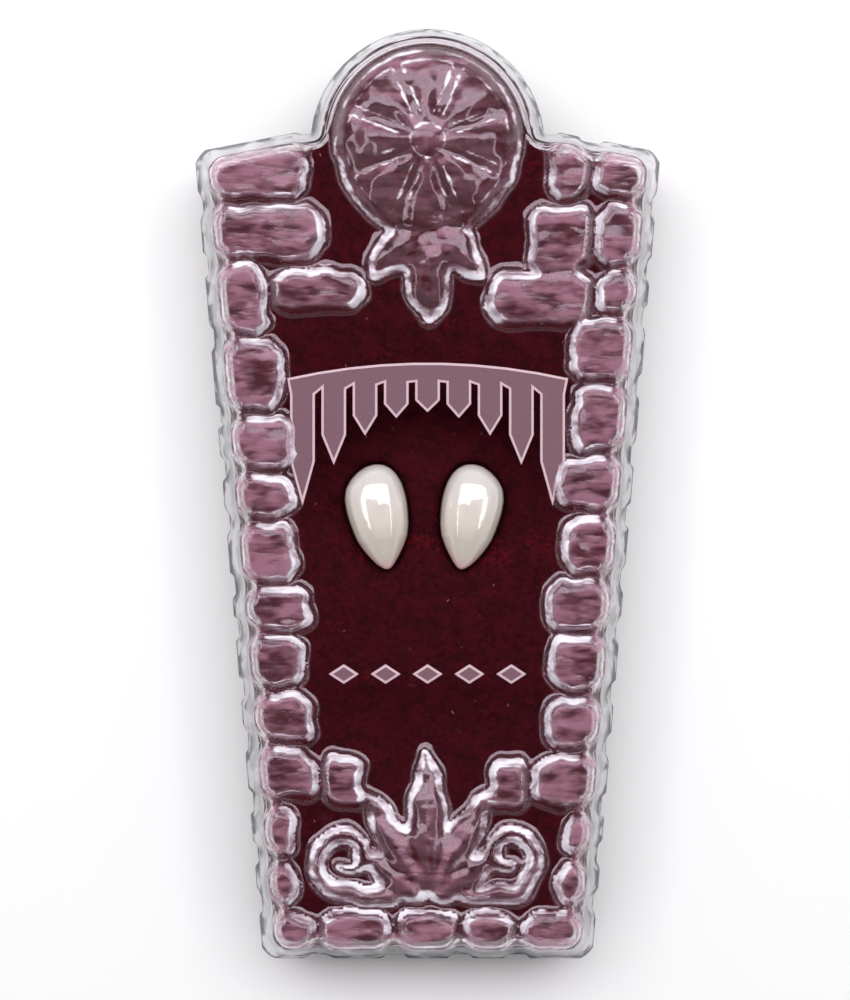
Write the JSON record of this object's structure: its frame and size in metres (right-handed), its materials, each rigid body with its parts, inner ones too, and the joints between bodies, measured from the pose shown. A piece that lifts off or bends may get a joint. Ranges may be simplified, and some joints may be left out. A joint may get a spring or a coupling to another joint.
{
  "type": "pair of vampire fang caps in a coffin-shaped clear case",
  "caption": "Pair of hollow vampire fang tooth caps lying on a red flocked insert, under a coffin-shaped clear thermoformed cover with a raised stone border, in a clear base tray.",
  "frame": {"origin": "middle of the case's footprint, on the surface it lies on", "axes": "+Z out of the case's face, +Y towards its head end, +X across it"},
  "size_m": [0.072, 0.144, 0.0258],
  "materials": {
    "tray_plastic": "thin clear sheet, glossy",
    "red_velvet": "dark red flock on foam, mottled",
    "clear_plastic": "clear thermoformed sheet, glossy, lightly brushed on the raised stones",
    "pearl_acrylic": "polished pearl white dental acrylic"
  },
  "bodies": {
    "root": {"base_tray": "tray_plastic", "velvet_insert": "red_velvet", "clear_cover": "clear_plastic", "fang_cap_left": "pearl_acrylic", "fang_cap_right": "pearl_acrylic"}
  },
  "joints": []
}
